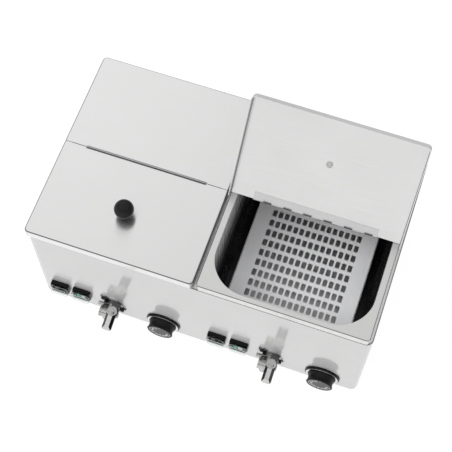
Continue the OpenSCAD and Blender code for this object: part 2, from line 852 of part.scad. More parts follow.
// Tap body: flange, nut, valve chamber across the front, and spout
module tap_body(u) {
    x = tank_x(u) + tap_x;
    sx = x + stem_shift;
    color("#c9c9c6") placed() difference() {
        union() {
            on_panel(x, tap_z, 0, flange_t) tap_flange_outline();
            translate([x, -flange_t, tap_z]) rotate([90, 0, 0]) rotate(tap_nut_turn)
                hex_nut(tap_nut_r, tap_nut_t, nut_face_r);
            rod_y(x, 0, sheet + spigot_len, tap_z, spigot_r);
            rod_y(x, -stem_out, -flange_t, tap_z, chamber_r);
            rod_y(sx, -stem_out, -flange_t - tap_nut_t / 2, tap_z, chamber_r);
            rod_x(x - chamber_left, sx, -stem_out, tap_z, chamber_r);
            rod_x(x - chamber_left, x - chamber_left + chamber_collar, -stem_out, tap_z, chamber_collar_r);
            translate([sx, -stem_out, tap_z]) sphere(chamber_ball_r);
            rod_x(sx, x + chamber_right, -stem_out, tap_z, chamber_plug_r);
            rod_x(x - vent_screw_reach, x, -flange_t - vent_screw_y, tap_z, vent_screw_r);
            translate([sx, -stem_out, tap_z]) cylinder(h = boss_h, r = boss_r);
            translate([x - spout_shift, -stem_out, tap_z - spout_drop + spout_tip])
                cylinder(h = spout_drop - spout_tip, r = spout_r);
            translate([x - spout_shift, -stem_out, tap_z - spout_drop])
                cylinder(h = spout_drop, r = spout_tip_r);
        }
        rod_y(x, -stem_out / 2, sheet + spigot_len + cut, tap_z, spigot_bore_r);
        rod_y(sx, -stem_out, -flange_t - tap_nut_t / 2, tap_z, valve_bore_r);
        rod_x(x - spout_shift, sx, -stem_out, tap_z, valve_bore_r);
        translate([x - spout_shift, -stem_out, tap_z - spout_drop - cut])
            cylinder(h = spout_drop + cut, r = spigot_bore_r);
        translate([sx, -stem_out, tap_z]) sphere(valve_ball_r + run_clear);
        translate([sx, -stem_out, tap_z]) cylinder(h = boss_h + cut, r = stem_r + run_clear);
        for (side = [0, 1]) ear_place(u, side) rod_y(0, -flange_t - cut, cut, 0, ear_screw_r + run_clear);
    }
}

// Flange with two ears set across the diagonal
module tap_flange_outline() {
    circle(flange_r);
    rotate(ear_angle) {
        square([2 * ear_reach, 2 * ear_r], center = true);
        for (s = [-1, 1]) translate([s * ear_reach, 0]) circle(ear_r);
    }
}

// Locknuts behind the panel, one on each tap's thread
module tap_locknuts() {
    color("goldenrod") placed() for (u = [0, 1]) difference() {
        on_panel(tank_x(u) + tap_x, tap_z, -sheet - locknut_t, -sheet) circle(locknut_r, $fn = 6);
        rod_y(tank_x(u) + tap_x, 0, sheet + locknut_t + cut, tap_z, spigot_r + run_clear);
    }
}

// Black screws of the tap flanges
module tap_flange_screws() {
    color("#202020") placed() for (u = [0, 1], side = [0, 1]) ear_place(u, side) {
        rod_y(0, -flange_t, sheet + screw_len, 0, ear_screw_r);
        difference() {
            rod_y(0, -flange_t - ear_head_t, -flange_t, 0, ear_head_r);
            on_panel(0, 0, flange_t + ear_head_t / 2, flange_t + ear_head_t + cut)
                circle(ear_head_r / 2, $fn = 6);
        }
    }
}

// Ball of the valve on its stem: the angled way through it is closed while the
// lever points ahead, and joins inlet and spout after a quarter turn
module tap_ball(u) {
    color("silver") placed() translate([tank_x(u) + tap_x + stem_shift, -stem_out, tap_z]) difference() {
        union() {
            sphere(valve_ball_r);
            cylinder(h = boss_h + seat_clear + hub_h + stem_nut_t / 2, r = stem_r);
        }
        rod_x(0, valve_ball_r + cut, 0, 0, valve_bore_r);
        rod_y(0, 0, valve_ball_r + cut, 0, valve_bore_r);
    }
}

// Lever: cast arm on a hub, held to the stem by a nut
module tap_lever(u) {
    color("#b9b9b6") placed() translate([tank_x(u) + tap_x + stem_shift, -stem_out, tap_z]) difference() {
        union() {
            translate([0, 0, boss_h + seat_clear]) cylinder(h = hub_h, r = hub_r);
            translate([0, 0, boss_h + seat_clear + hub_h]) cylinder(h = stem_nut_t, r = stem_nut_r);
            translate([0, 0, lever_z]) rotate([lever_slope, 0, 0]) lever_arm();
        }
        cylinder(h = boss_h + seat_clear + hub_h + stem_nut_t / 2, r = stem_r + run_clear);
        cylinder(h = boss_h + seat_clear, r = boss_r + seat_clear);
        rod_x(-lever_w, lever_w, 0, 0, chamber_r + seat_clear);
        sphere(chamber_ball_r + seat_clear);
    }
}

// Arm of the lever: flat on top with sloping sides, and a tip that slopes down
module lever_arm() {
    half = lever_w / 2;
    top = lever_top_w / 2;
    fall = (lever_t - lever_side_h) / (half - top);
    rise = (lever_t - lever_side_h) / lever_tip;
    intersection() {
        rotate([90, 0, 0]) linear_extrude(lever_len + cut) polygon([
            [-half - cut, -lever_t / 2], [half + cut, -lever_t / 2],
            [half + cut, lever_side_h - lever_t / 2 - fall * cut], [top, lever_t / 2],
            [-top, lever_t / 2], [-half - cut, lever_side_h - lever_t / 2 - fall * cut]
        ]);
        translate([0, 0, -lever_t]) linear_extrude(2 * lever_t)
            round_rect(lever_w, 2 * lever_len, lever_corner);
        rotate([90, 0, 90]) translate([0, 0, -lever_w]) linear_extrude(2 * lever_w) polygon([
            [-lever_len - cut, -lever_t], [cut, -lever_t], [cut, lever_t],
            [-lever_len + lever_tip + lever_t / 2 / rise, lever_t],
            [-lever_len - cut, lever_side_h - lever_t / 2 - rise * cut]
        ]);
    }
}

// Frame of a switch or lamp, with its body behind the panel
module control_frame(x, hole_w, hole_h, hole_corner, pivot_h) {
    placed() difference() {
        union() {
            on_panel(x, switch_z, 0, frame_out - frame_step) round_rect(frame_w, frame_h, frame_corner);
            on_panel(x, switch_z, 0, frame_out)
                round_rect(frame_w - 2 * frame_rim, frame_h - 2 * frame_rim, frame_corner - frame_rim / 2);
            on_panel(x, switch_z, -switch_body_d, cut) square([switch_body_w, switch_body_h], center = true);
            for (s = [-1, 1])
                translate([x + s * switch_body_w / 4, switch_body_d + terminal_len / 2, switch_z])
                    cube([terminal_t, terminal_len, terminal_w], center = true);
        }
        on_panel(x, switch_z, -pocket_d, frame_out + cut) round_rect(hole_w, hole_h, hole_corner);
        if (pivot_h > 0)
            translate([x, rocker_pivot, switch_z - pivot_h / 2])
                cylinder(h = pivot_h, r = trunnion_r + run_clear);
    }
}

module switch_frame(u) {
    color("#161616") control_frame(tank_x(u) + switch_x, pocket_w, pocket_h, frame_rim,
        rocker_h + 2 * trunnion_len);
}

module lamp_frame(u) {
    color("#161616") control_frame(tank_x(u) + lamp_x, 2 * (lens_w + lens_gap), lens_h + 2 * lens_gap,
        lens_gap, 0);
}

// Rocker: drawn at its off tilt, dished across the middle
module rocker(u) {
    half = rocker_w / 2;
    face = -rocker_out - rocker_pivot;
    color("#2e2e2e") placed() translate([tank_x(u) + switch_x, rocker_pivot, switch_z])
        rotate([0, 0, rocker_tilt]) {
            translate([0, 0, -rocker_h / 2]) linear_extrude(rocker_h) polygon([
                [-half, face], [0, face + rocker_dip], [half, face], [half, 0], [half / 2, rocker_back],
                [-half / 2, rocker_back], [-half, 0]
            ]);
            translate([0, 0, -rocker_h / 2 - trunnion_len + run_clear])
                cylinder(h = rocker_h + 2 * (trunnion_len - run_clear), r = trunnion_r);
        }
}

// One lens, slightly crowned across its width
module lens(x) {
    intersection() {
        on_panel(x, switch_z, -pocket_d, lens_out) square([lens_w, lens_h], center = true);
        translate([x, lens_crown_r - lens_out, switch_z - lens_h])
            cylinder(h = 2 * lens_h, r = lens_crown_r);
    }
}

module green_lenses() {
    color("#5b9a86") placed() for (u = [0, 1]) lens(tank_x(u) + lamp_x - (lens_w + lens_gap) / 2);
}

module clear_lenses() {
    color("#e8ece8") placed() for (u = [0, 1]) lens(tank_x(u) + lamp_x + (lens_w + lens_gap) / 2);
}

// Splash caps: clear moulded covers over all switches and lamps
module splash_caps() {
    step_in = frame_rim - run_clear;
    color([0.92, 0.94, 0.94, 0.4]) placed() for (u = [0, 1], place = [switch_x, lamp_x])
        translate([tank_x(u) + place, -frame_out - cap_out, switch_z]) rotate([-90, 0, 0]) difference() {
            pan(cap_w, cap_h, cap_out + frame_step, cap_corner, cap_bend);
            translate([0, 0, cap_t])
                pan(cap_w - 2 * cap_t, cap_h - 2 * cap_t, cap_out - cap_t, cap_corner - cap_t,
                    cap_bend - cap_t);
            translate([0, 0, cap_out - cut]) linear_extrude(frame_step + 2 * cut)
                round_rect(frame_w - 2 * step_in, frame_h - 2 * step_in, frame_corner - frame_rim / 2);
        }
}

// Bezel: black moulded disc with a groove for the bright ring
module dial_bezel(u) {
    bore_r = bush_r + run_clear;
    color("#141414") placed() translate([tank_x(u) + dial_x, 0, dial_z]) rotate([90, 0, 0]) rotate_extrude()
        difference() {
            union() {
                translate([bore_r, 0]) square([bezel_r - bore_r, bezel_t / 2]);
                translate([bore_r, 0]) square([bezel_r - bezel_t / 2 - bore_r, bezel_t]);
                translate([bezel_r - bezel_t / 2, bezel_t / 2]) circle(bezel_t / 2);
            }
            translate([ring_bore_r, bezel_t - ring_sink]) square([ring_r - ring_bore_r, bezel_t]);
        }
}

module bezel_rings() {
    color("silver") placed() for (u = [0, 1])
        translate([tank_x(u) + dial_x, -bezel_t + ring_sink, dial_z]) rotate([90, 0, 0]) difference() {
            cylinder(h = ring_t, r = ring_r - run_clear);
            translate([0, 0, -cut]) cylinder(h = ring_t + 2 * cut, r = ring_bore_r + run_clear);
        }
}

// Dial knob on its spindle, drawn in at the waist and dished at the face
module dial_knob(u) {
    foot = bezel_t + dial_foot_gap;
    waist_r = dial_face_r - dial_waist_depth;
    color("#1b1b1b") placed() translate([tank_x(u) + dial_x, 0, dial_z]) rotate([90, 0, 0]) {
        rotate_extrude() difference() {
            polygon([
                [0, foot], [dial_foot_r, foot], [dial_foot_r, foot + dial_edge],
                [dial_face_r, dial_out - dial_edge], [dial_face_r - dial_edge, dial_out],
                [dial_plate_r + dial_edge / 2, dial_out], [dial_plate_r + run_clear, dial_out - dial_dish],
                [0, dial_out - dial_dish]
            ]);
            translate([waist_r + dial_waist_arc, foot + (dial_out - foot) * dial_waist_share])
                circle(dial_waist_arc);
        }
        translate([0, 0, -spindle_seat]) cylinder(h = foot + spindle_seat + cut, r = spindle_r);
    }
}

// Dial plate: round scale plate set in the knob's face
module dial_plate(u) {
    color("#8d8d8d") placed() translate([tank_x(u) + dial_x, -dial_out + dial_dish, dial_z])
        rotate([90, 0, 0]) cylinder(h = dial_plate_t, r = dial_plate_r);
}

// Cable gland on the rear wall, open: no lead is fitted
module cable_gland() {
    back = body_d;
    color("#3c3c3c") placed() translate([gland_x, back, gland_z]) rotate([-90, 0, 0]) difference() {
        union() {
            cylinder(h = gland_hex_t, r = gland_hex_r, $fn = 6);
            translate([0, 0, gland_hex_t]) rotate_extrude() {
                square([gland_dome_r, gland_dome_l / 2]);
                polygon([
                    [0, 0], [gland_dome_r, gland_dome_l / 2], [gland_mouth_r, gland_dome_l],
                    [0, gland_dome_l]
                ]);
            }
            translate([0, 0, -sheet - gland_inside]) cylinder(h = sheet + gland_inside + cut, r = gland_r);
            translate([0, 0, -sheet - gland_nut_t]) cylinder(h = gland_nut_t, r = gland_hex_r, $fn = 6);
        }
        translate([0, 0, -sheet - gland_inside - cut])
            cylinder(h = gland_inside + sheet + gland_hex_t + gland_dome_l + 2 * cut, r = gland_bore_r);
    }
}

// Terminal block on the base plate, behind it the gland
module terminal_block() {
    y = body_d - block_y - block_d;
    color("ivory") placed() translate([gland_x - block_w / 2, y, sheet]) difference() {
        cube([block_w, block_d, block_h]);
        for (k = [0 : block_ways - 1]) {
            x = block_margin + k * (block_w - 2 * block_margin) / (block_ways - 1);
            rod_y(x, -cut, block_d + cut, block_h / 3, block_way_r);
            translate([x, block_d / 2, block_h / 2]) cylinder(h = block_h, r = block_way_r);
        }
    }
}

housing_shell();
base_plate();
feet();
base_screws();
tank(0);  // tank_left
tank(1);  // tank_right
rear_cover(0);  // rear_cover_left
rear_cover(1);  // rear_cover_right
fixed_leaf(0);  // fixed_leaf_left
fixed_leaf(1);  // fixed_leaf_right
hinge_pin(0);  // hinge_pin_left
hinge_pin(1);  // hinge_pin_right
heater(0);  // heater_left
heater(1);  // heater_right
heater_clamp(0);  // heater_clamp_left
heater_clamp(1);  // heater_clamp_right
overheat_cutouts();
sensor_bulbs();
thermostat(0);  // thermostat_left
thermostat(1);  // thermostat_right
drain_pipe(0);  // drain_pipe_left
drain_pipe(1);  // drain_pipe_right
tap_body(0);  // tap_body_left
tap_body(1);  // tap_body_right
tap_locknuts();
tap_flange_screws();
dial_bezel(0);  // dial_bezel_left
dial_bezel(1);  // dial_bezel_right
bezel_rings();
switch_frame(0);  // switch_frame_left
switch_frame(1);  // switch_frame_right
lamp_frame(0);  // lamp_frame_left
lamp_frame(1);  // lamp_frame_right
green_lenses();
clear_lenses();
splash_caps();
cable_gland();
terminal_block();
front_lid(0);  // front_lid_left
front_lid(1);  // front_lid_right
lid_leaf(0);  // lid_leaf_left
lid_leaf(1);  // lid_leaf_right
lid_ball(0);  // lid_ball_left
lid_ball(1);  // lid_ball_right
lid_screw(0);  // lid_screw_left
lid_screw(1);  // lid_screw_right
dial_knob(0);  // dial_knob_left
dial_knob(1);  // dial_knob_right
dial_plate(0);  // dial_plate_left
dial_plate(1);  // dial_plate_right
rocker(0);  // rocker_left
rocker(1);  // rocker_right
tap_lever(0);  // tap_lever_left
tap_lever(1);  // tap_lever_right
tap_ball(0);  // tap_ball_left
tap_ball(1);  // tap_ball_right
perforated_insert(0);  // perforated_insert_left
perforated_insert(1);  // perforated_insert_right
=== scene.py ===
"""Countertop bain-marie: two stainless water tanks side by side in one housing.

The pieces follow in the order in which the appliance is put together. Sizes are in metres.
"""

import json
import math

import bpy
from mathutils import Matrix, Vector

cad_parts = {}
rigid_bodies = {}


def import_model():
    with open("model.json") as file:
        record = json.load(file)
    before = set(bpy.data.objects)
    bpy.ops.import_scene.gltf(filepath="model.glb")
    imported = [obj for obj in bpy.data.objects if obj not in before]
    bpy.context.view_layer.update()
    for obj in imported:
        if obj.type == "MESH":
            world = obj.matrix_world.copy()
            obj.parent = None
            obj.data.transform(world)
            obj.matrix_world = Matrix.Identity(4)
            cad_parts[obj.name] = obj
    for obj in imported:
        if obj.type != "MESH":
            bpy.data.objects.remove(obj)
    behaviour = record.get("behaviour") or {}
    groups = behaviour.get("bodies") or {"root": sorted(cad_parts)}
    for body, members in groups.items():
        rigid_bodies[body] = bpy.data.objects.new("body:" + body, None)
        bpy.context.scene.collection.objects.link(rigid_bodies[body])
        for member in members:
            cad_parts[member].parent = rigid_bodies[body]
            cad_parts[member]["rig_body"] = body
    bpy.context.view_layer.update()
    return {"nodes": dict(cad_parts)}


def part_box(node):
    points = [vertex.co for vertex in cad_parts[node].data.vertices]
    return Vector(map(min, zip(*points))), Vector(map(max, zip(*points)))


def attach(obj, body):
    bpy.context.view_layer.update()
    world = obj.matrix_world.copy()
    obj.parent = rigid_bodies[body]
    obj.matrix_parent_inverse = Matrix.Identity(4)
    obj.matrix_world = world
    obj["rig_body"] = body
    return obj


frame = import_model()
nodes = frame["nodes"]
MM = 0.001
SIDES = ("left", "right")

# Camera: it stands above the right-hand front of the warmer and looks down at 65 degrees,
# with the long lens of a product photograph. Its place was worked out from the picture's
# perspective.
LOOK_ROUND = math.radians(18.51)
LOOK_DOWN = math.radians(64.97)
LOOK_ROLL = math.radians(0.63)
EYE = Vector((0.2352, -0.7073, 1.7598))
LENS_MM = 88.74
SENSOR_MM = 36
NEAR_CLIP = 0.05
FAR_CLIP = 50

bpy.ops.object.select_all(action="DESELECT")
bpy.ops.object.camera_add()
camera = bpy.context.object
camera.name = "camera"
camera.matrix_world = (
    Matrix.Translation(EYE)
    @ Matrix.Rotation(LOOK_ROUND, 4, "Z")
    @ Matrix.Rotation(math.pi / 2 - LOOK_DOWN, 4, "X")
    @ Matrix.Rotation(LOOK_ROLL, 4, "Z")
)
camera.data.lens = LENS_MM
camera.data.sensor_width = SENSOR_MM
camera.data.clip_start = NEAR_CLIP
camera.data.clip_end = FAR_CLIP
bpy.context.scene.camera = camera
bpy.context.scene.view_settings.view_transform = "Standard"


# Studio: a white room and a white paper floor. Black felt hangs round the room above the
# horizon, with a gap in front. Only shiny things show it, as a dark line along each of their
# bends, and several finishes paint that line darker still as painted shade.
def linear(hex_colour):
    """An sRGB hex colour as the linear colour that shaders take."""
    parts = [int(hex_colour[i : i + 2], 16) / 255 for i in (1, 3, 5)]
    return [p / 12.92 if p <= 0.04045 else ((p + 0.055) / 1.055) ** 2.4 for p in parts] + [1.0]


def fill(tree, made, inputs):
    """Puts a value, a hex colour, or a link from a node or a socket, on each input named."""
    for socket, value in inputs.items():
        if isinstance(value, bpy.types.Node):
            value = next(out for out in value.outputs if out.enabled)
        if isinstance(value, bpy.types.NodeSocket):
            tree.links.new(value, made.inputs[socket])
        else:
            made.inputs[socket].default_value = linear(value) if isinstance(value, str) else value


def add(tree, kind, inputs=None, **settings):
    """Adds a shader node with its settings and inputs."""
    made = tree.nodes.new("ShaderNode" + kind)
    for name, value in settings.items():
        setattr(made, name, value)
    fill(tree, made, inputs or {})
    return made


# The felt hangs in a band, higher in front. In reflections the room dims towards the right
# and high over its rear half, and matt things get more light from the front.
SMOOTH = {"interpolation_type": "SMOOTHSTEP"}
ROOM_LIGHT = 0.72
FRONT_LIGHT = 1.5
FRONT_LIGHT_FROM = 0.2
FRONT_LIGHT_TO = -0.6
FELT_HEIGHT = 0.33
FELT_HIGHER_IN_FRONT = 0.3
FELT_CORE = 0.07
FELT_EDGE = 0.18
FELT_LEVEL = 0.1
BRIGHT_SIDE = -0.32
DIM_SIDE = 0.05
DIM_LEVEL = 0.8
HIGH_FROM = 0.42
HIGH_TO = 0.25
HIGH_LEVEL = 0.78
REAR_FADE = 0.1
GAP_FROM = -0.75
GAP_TO = -0.93
room = bpy.data.worlds.new("white room")
room.use_nodes = True
bpy.context.scene.world = room
tree = room.node_tree
heading = add(tree, "SeparateXYZ", {0: add(tree, "TexCoord").outputs["Object"]}).outputs
band = {0: heading["Y"], 1: -FELT_HIGHER_IN_FRONT, 2: FELT_HEIGHT}
band = add(tree, "Math", band, operation="MULTIPLY_ADD")
apart = add(tree, "Math", {0: heading["Z"], 1: band}, operation="SUBTRACT")
apart = add(tree, "Math", {0: apart}, operation="ABSOLUTE")
felt = add(tree, "MapRange", {0: apart, 1: FELT_CORE, 2: FELT_EDGE, 3: FELT_LEVEL}, **SMOOTH)
dim = {0: heading["X"], 1: BRIGHT_SIDE, 2: DIM_SIDE, 3: 1.0, 4: DIM_LEVEL}
dim = add(tree, "MapRange", dim, **SMOOTH)
felt = add(tree, "Math", {0: felt, 1: dim}, operation="MULTIPLY")
high_up = add(tree, "MapRange", {0: heading["Y"], 1: HIGH_FROM, 2: HIGH_TO}, **SMOOTH)
rear = add(tree, "MapRange", {0: heading["Y"], 1: 0.0, 2: REAR_FADE}, **SMOOTH)
high_up = add(tree, "Math", {0: high_up, 1: rear}, operation="MULTIPLY")
high_up = add(tree, "Math", {0: high_up, 1: HIGH_LEVEL - 1, 2: 1.0}, operation="MULTIPLY_ADD")
felt = add(tree, "Math", {0: felt, 1: high_up}, operation="MULTIPLY")
gap = add(tree, "MapRange", {0: heading["Y"], 1: GAP_FROM, 2: GAP_TO}, **SMOOTH)
felt = add(tree, "Mix", {0: gap, 2: felt, 3: 1.0})
soft = {0: heading["Y"], 1: FRONT_LIGHT_FROM, 2: FRONT_LIGHT_TO, 3: ROOM_LIGHT, 4: FRONT_LIGHT}
soft = add(tree, "MapRange", soft, **SMOOTH)
path = add(tree, "LightPath").outputs
direct = {0: path["Is Camera Ray"], 1: path["Is Transmission Ray"]}
direct = add(tree, "Math", direct, operation="MAXIMUM")
strength = add(tree, "Mix", {0: path["Is Glossy Ray"], 2: soft, 3: felt})
strength = add(tree, "Mix", {0: direct, 2: strength, 3: 1.0})
fill(tree, tree.nodes["Background"], {"Color": "#ffffff", "Strength": strength})

FLOOR_SIZE = 14.0
FLOOR_DROP = 0.2 * MM
FLOOR_WHITE = 0.86
FLOOR_GLOW = 1.05
PAPER_END = 1.1
FELT_BEGINS = 1.9
bpy.ops.mesh.primitive_plane_add(size=FLOOR_SIZE, location=(0, 0, -FLOOR_DROP))
floor = bpy.context.object
floor.name = "paper_floor"
paper = bpy.data.materials.new("matt white paper")
paper.use_nodes = True
tree = paper.node_tree
tree.nodes.clear()
path = add(tree, "LightPath").outputs
shown = {0: path["Is Camera Ray"], 1: path["Is Glossy Ray"]}
shown = add(tree, "Math", shown, operation="MAXIMUM")
shown = add(tree, "Math", {0: shown, 1: path["Is Transmission Ray"]}, operation="MAXIMUM")
shown = add(tree, "Math", {0: shown, 1: FLOOR_WHITE}, operation="MULTIPLY")
behind = add(tree, "SeparateXYZ", {0: add(tree, "TexCoord").outputs["Object"]}).outputs["Y"]
far = add(tree, "MapRange", {0: behind, 1: PAPER_END, 2: FELT_BEGINS}, **SMOOTH)
far = add(tree, "Math", {0: far, 1: path["Is Glossy Ray"]}, operation="MULTIPLY")
glow = {0: far, 1: FELT_LEVEL - FLOOR_GLOW, 2: FLOOR_GLOW}
glow = add(tree, "Math", glow, operation="MULTIPLY_ADD")
blank = add(tree, "Emission", {"Color": "#ffffff", "Strength": glow})
lit = add(tree, "BsdfDiffuse", {"Color": "#f4f4f4"})
add(tree, "OutputMaterial", {"Surface": add(tree, "MixShader", {0: shown, 1: lit, 2: blank})})
floor.data.materials.append(paper)

# One wide soft lamp, high to the left in front, gives the steel a brighter side. Shiny things
# don't show it, because it would burn out on the lids as they swing.
LAMP_AT = Vector((-1.7, -0.9, 2.3))
LAMP_AIM = Vector((0, 0, 0.15))
LAMP_SIZE = 1.6
LAMP_WATTS = 40
bpy.ops.object.light_add(type="AREA", location=LAMP_AT)
lamp = bpy.context.object
lamp.name = "soft_box"
lamp.rotation_euler = (LAMP_AIM - LAMP_AT).to_track_quat("-Z", "Y").to_euler()
lamp.data.size = LAMP_SIZE
lamp.data.energy = LAMP_WATTS
lamp.visible_glossy = False


# Housing: front, sides, rear and top folded from one stainless sheet, with openings for the
# tanks and controls. The base plate is screwed to the returns inside its bottom edge.

# The sheet is ground with a fine belt. Its lines run level round the walls and from side to
# side on top, spread each reflection across them and keep it crisp along them. They are
# drawn about three times as coarse as real, so that they show.
GRAIN_ACROSS = 0.35 * MM
GRAIN_ALONG = 45 * MM
GRAIN_DETAIL = 3.0
CLOUD = 90 * MM
COLOURS = {"data_type": "RGBA"}

# Where a change begins and ends, as the From inputs of a Map Range: in a noise, in how far up
# a face looks, from 0 on a wall to 1 on a flat, and in how far it looks to one side.
NOISE = {1: 0.3, 2: 0.7}
OFF_WALL = {1: 0.2, 2: 0.45}
OFF_FLAT = {1: 0.98, 2: 0.86}
NEARLY_FLAT = {1: 0.6, 2: 0.95}
SIDEWAYS = {1: 0.1, 2: 0.7}
FLAT_FROM = 0.5
TANGENT_OFF_ZERO = 0.05


def new_finish(name, inputs):
    """A material with the constant inputs of its shader set."""
    material = bpy.data.materials.new(name)
    material.use_nodes = True
    shader = material.node_tree.nodes["Principled BSDF"]
    fill(material.node_tree, shader, inputs)
    return material, material.node_tree, shader


def wear(material, *names):
    """Puts a finish on CAD pieces whose shape stays as it is."""
    for name in names:
        for slot in nodes[name].material_slots:
            slot.material = material


def mottle(tree, size, detail=2.0):
    """Noise fixed to the piece, with spots about as big as size, or a size for each axis."""
    sizes = size if isinstance(size, tuple) else (size, size, size)
    at = add(tree, "TexCoord").outputs["Object"]
    at = add(tree, "Mapping", {"Vector": at, "Scale": [1 / length for length in sizes]})
    return add(tree, "TexNoise", {"Vector": at, "Scale": 1.0, "Detail": detail})


def mottled_finish(name, inputs, spots, shine, detail=2.0, relief=None):
    """A finish that is rougher in fine spots, which can also stand proud of the rest."""
    material, tree, shader = new_finish(name, inputs)
    pattern = mottle(tree, spots, detail)
    rough = add(tree, "MapRange", {0: pattern, **NOISE, 3: shine[0], 4: shine[1]})
    fill(tree, shader, {"Roughness": rough})
    if relief:
        proud = {"Height": pattern, "Distance": relief[0], "Strength": relief[1]}
        fill(tree, shader, {"Normal": add(tree, "Bump", proud)})
    return material


def facing(tree):
    """The piece's own normal, split in its parts."""
    return add(tree, "SeparateXYZ", {0: add(tree, "TexCoord").outputs["Normal"]}).outputs


def grain_lines(tree):
    """Fine lines that run level round walls, and along X on faces that lie flat."""
    walls = mottle(tree, (GRAIN_ALONG, GRAIN_ALONG, GRAIN_ACROSS), GRAIN_DETAIL)
    flats = mottle(tree, (GRAIN_ALONG, GRAIN_ACROSS, GRAIN_ALONG), GRAIN_DETAIL)
    flat = add(tree, "Math", {0: facing(tree)["Z"]}, operation="ABSOLUTE")
    flat = add(tree, "Math", {0: flat, 1: FLAT_FROM}, operation="GREATER_THAN")
    return add(tree, "Mix", {0: flat, 2: walls, 3: flats})


def grain_heading(tree):
    """The direction of those lines, as a shader's tangent. On a flat it runs along X."""
    normal = facing(tree)
    along_x = {0: normal["Y"], 1: -1.0, 2: TANGENT_OFF_ZERO}
    along_x = add(tree, "Math", along_x, operation="MULTIPLY_ADD")
    tangent = add(tree, "CombineXYZ", {0: along_x, 1: normal["X"]})
    spaces = {"vector_type": "VECTOR", "convert_from": "OBJECT", "convert_to": "WORLD"}
    return add(tree, "VectorTransform", {0: tangent}, **spaces)


def along_bends(tree):
    """One on the folds between a flat top and its walls, and nothing on either."""
    up = facing(tree)["Z"]
    off_wall = add(tree, "MapRange", {0: up, **OFF_WALL}, **SMOOTH)
    off_flat = add(tree, "MapRange", {0: up, **OFF_FLAT}, **SMOOTH)
    return add(tree, "Math", {0: off_wall, 1: off_flat}, operation="MULTIPLY")


def towards_sides(tree):
    """One on faces that look to the left or the right, and nothing on the others."""
    across = add(tree, "Math", {0: facing(tree)["X"]}, operation="ABSOLUTE")
    return add(tree, "MapRange", {0: across, **SIDEWAYS}, **SMOOTH)


def ground_sheet(name, colours, shine, flats=None, sides=None, bends=None, gleam=0.0):
    """Ground stainless sheet: grey white, with a shine that spreads across its lines."""
    material, tree, shader = new_finish(
        name,
        {
            "Metallic": 1.0,
            "Anisotropic": 0.85,
            "Anisotropic Rotation": 0.25,
            "Coat Weight": gleam,
            "Coat Roughness": 0.09,
            "Coat IOR": 1.65,
        },
    )
    lines = add(tree, "MapRange", {0: grain_lines(tree), **NOISE})
    cloud = add(tree, "MapRange", {0: mottle(tree, CLOUD), **NOISE})
    colour = add(tree, "Mix", {0: lines, 6: colours[0], 7: colours[1]}, **COLOURS)
    # Flats can be painted lighter, as painted light; sides and bends darker, as painted shade.
    if flats:
        flat = add(tree, "MapRange", {0: facing(tree)["Z"], **NEARLY_FLAT}, **SMOOTH)
        colour = add(tree, "Mix", {0: flat, 6: colour, 7: flats}, **COLOURS)
    if sides:
        colour = add(tree, "Mix", {0: towards_sides(tree), 6: colour, 7: sides}, **COLOURS)
    if bends:
        colour = add(tree, "Mix", {0: along_bends(tree), 6: colour, 7: bends}, **COLOURS)
    worn = add(tree, "Math", {0: lines, 1: cloud}, operation="ADD")
    worn = add(tree, "MapRange", {0: worn, 2: 2.0, 3: shine[0], 4: shine[1]}, **SMOOTH)
    fill(tree, shader, {"Base Color": colour, "Roughness": worn, "Tangent": grain_heading(tree)})
    return material


# The panel has a clear gleam over its lines, on top of the broad dull shine.
# Its flats are painted lighter, as painted light, and its bends carry a painted dark line of
# shade.
panel_finish = ground_sheet(
    "ground stainless sheet",
    ("#d6d6d6", "#d1d1d0"),
    shine=(0.5, 0.56),
    flats="#f0f0ef",
    bends="#6c6c6e",
    gleam=1.0,
)
wear(panel_finish, "housing_shell")

# Base plate: plain mill-finished sheet, screwed to the returns. Under it stand four feet of
# moulded rubber.

# Mill sheet is greyer than ground sheet. Rubber blooms to a dull black that hardly shines,
# and each screw is turned bright, so that it is a small sharp glint.
mill_finish = ground_sheet("mill stainless sheet", ("#cfcfce", "#bdbdbc"), shine=(0.32, 0.42))
rubber = mottled_finish(
    "moulded nitrile rubber",
    {"Base Color": "#1a1a1b", "Specular IOR Level": 0.3},
    spots=0.8 * MM,
    detail=4.0,
    shine=(0.62, 0.8),
    relief=(0.05 * MM, 0.3),
)
screw_steel = mottled_finish(
    "turned screw steel",
    {"Base Color": "#c9c9c7", "Metallic": 1.0},
    spots=0.5 * MM,
    shine=(0.2, 0.34),
)
wear(mill_finish, "base_plate")
wear(rubber, "feet")
wear(screw_steel, "base_screws")
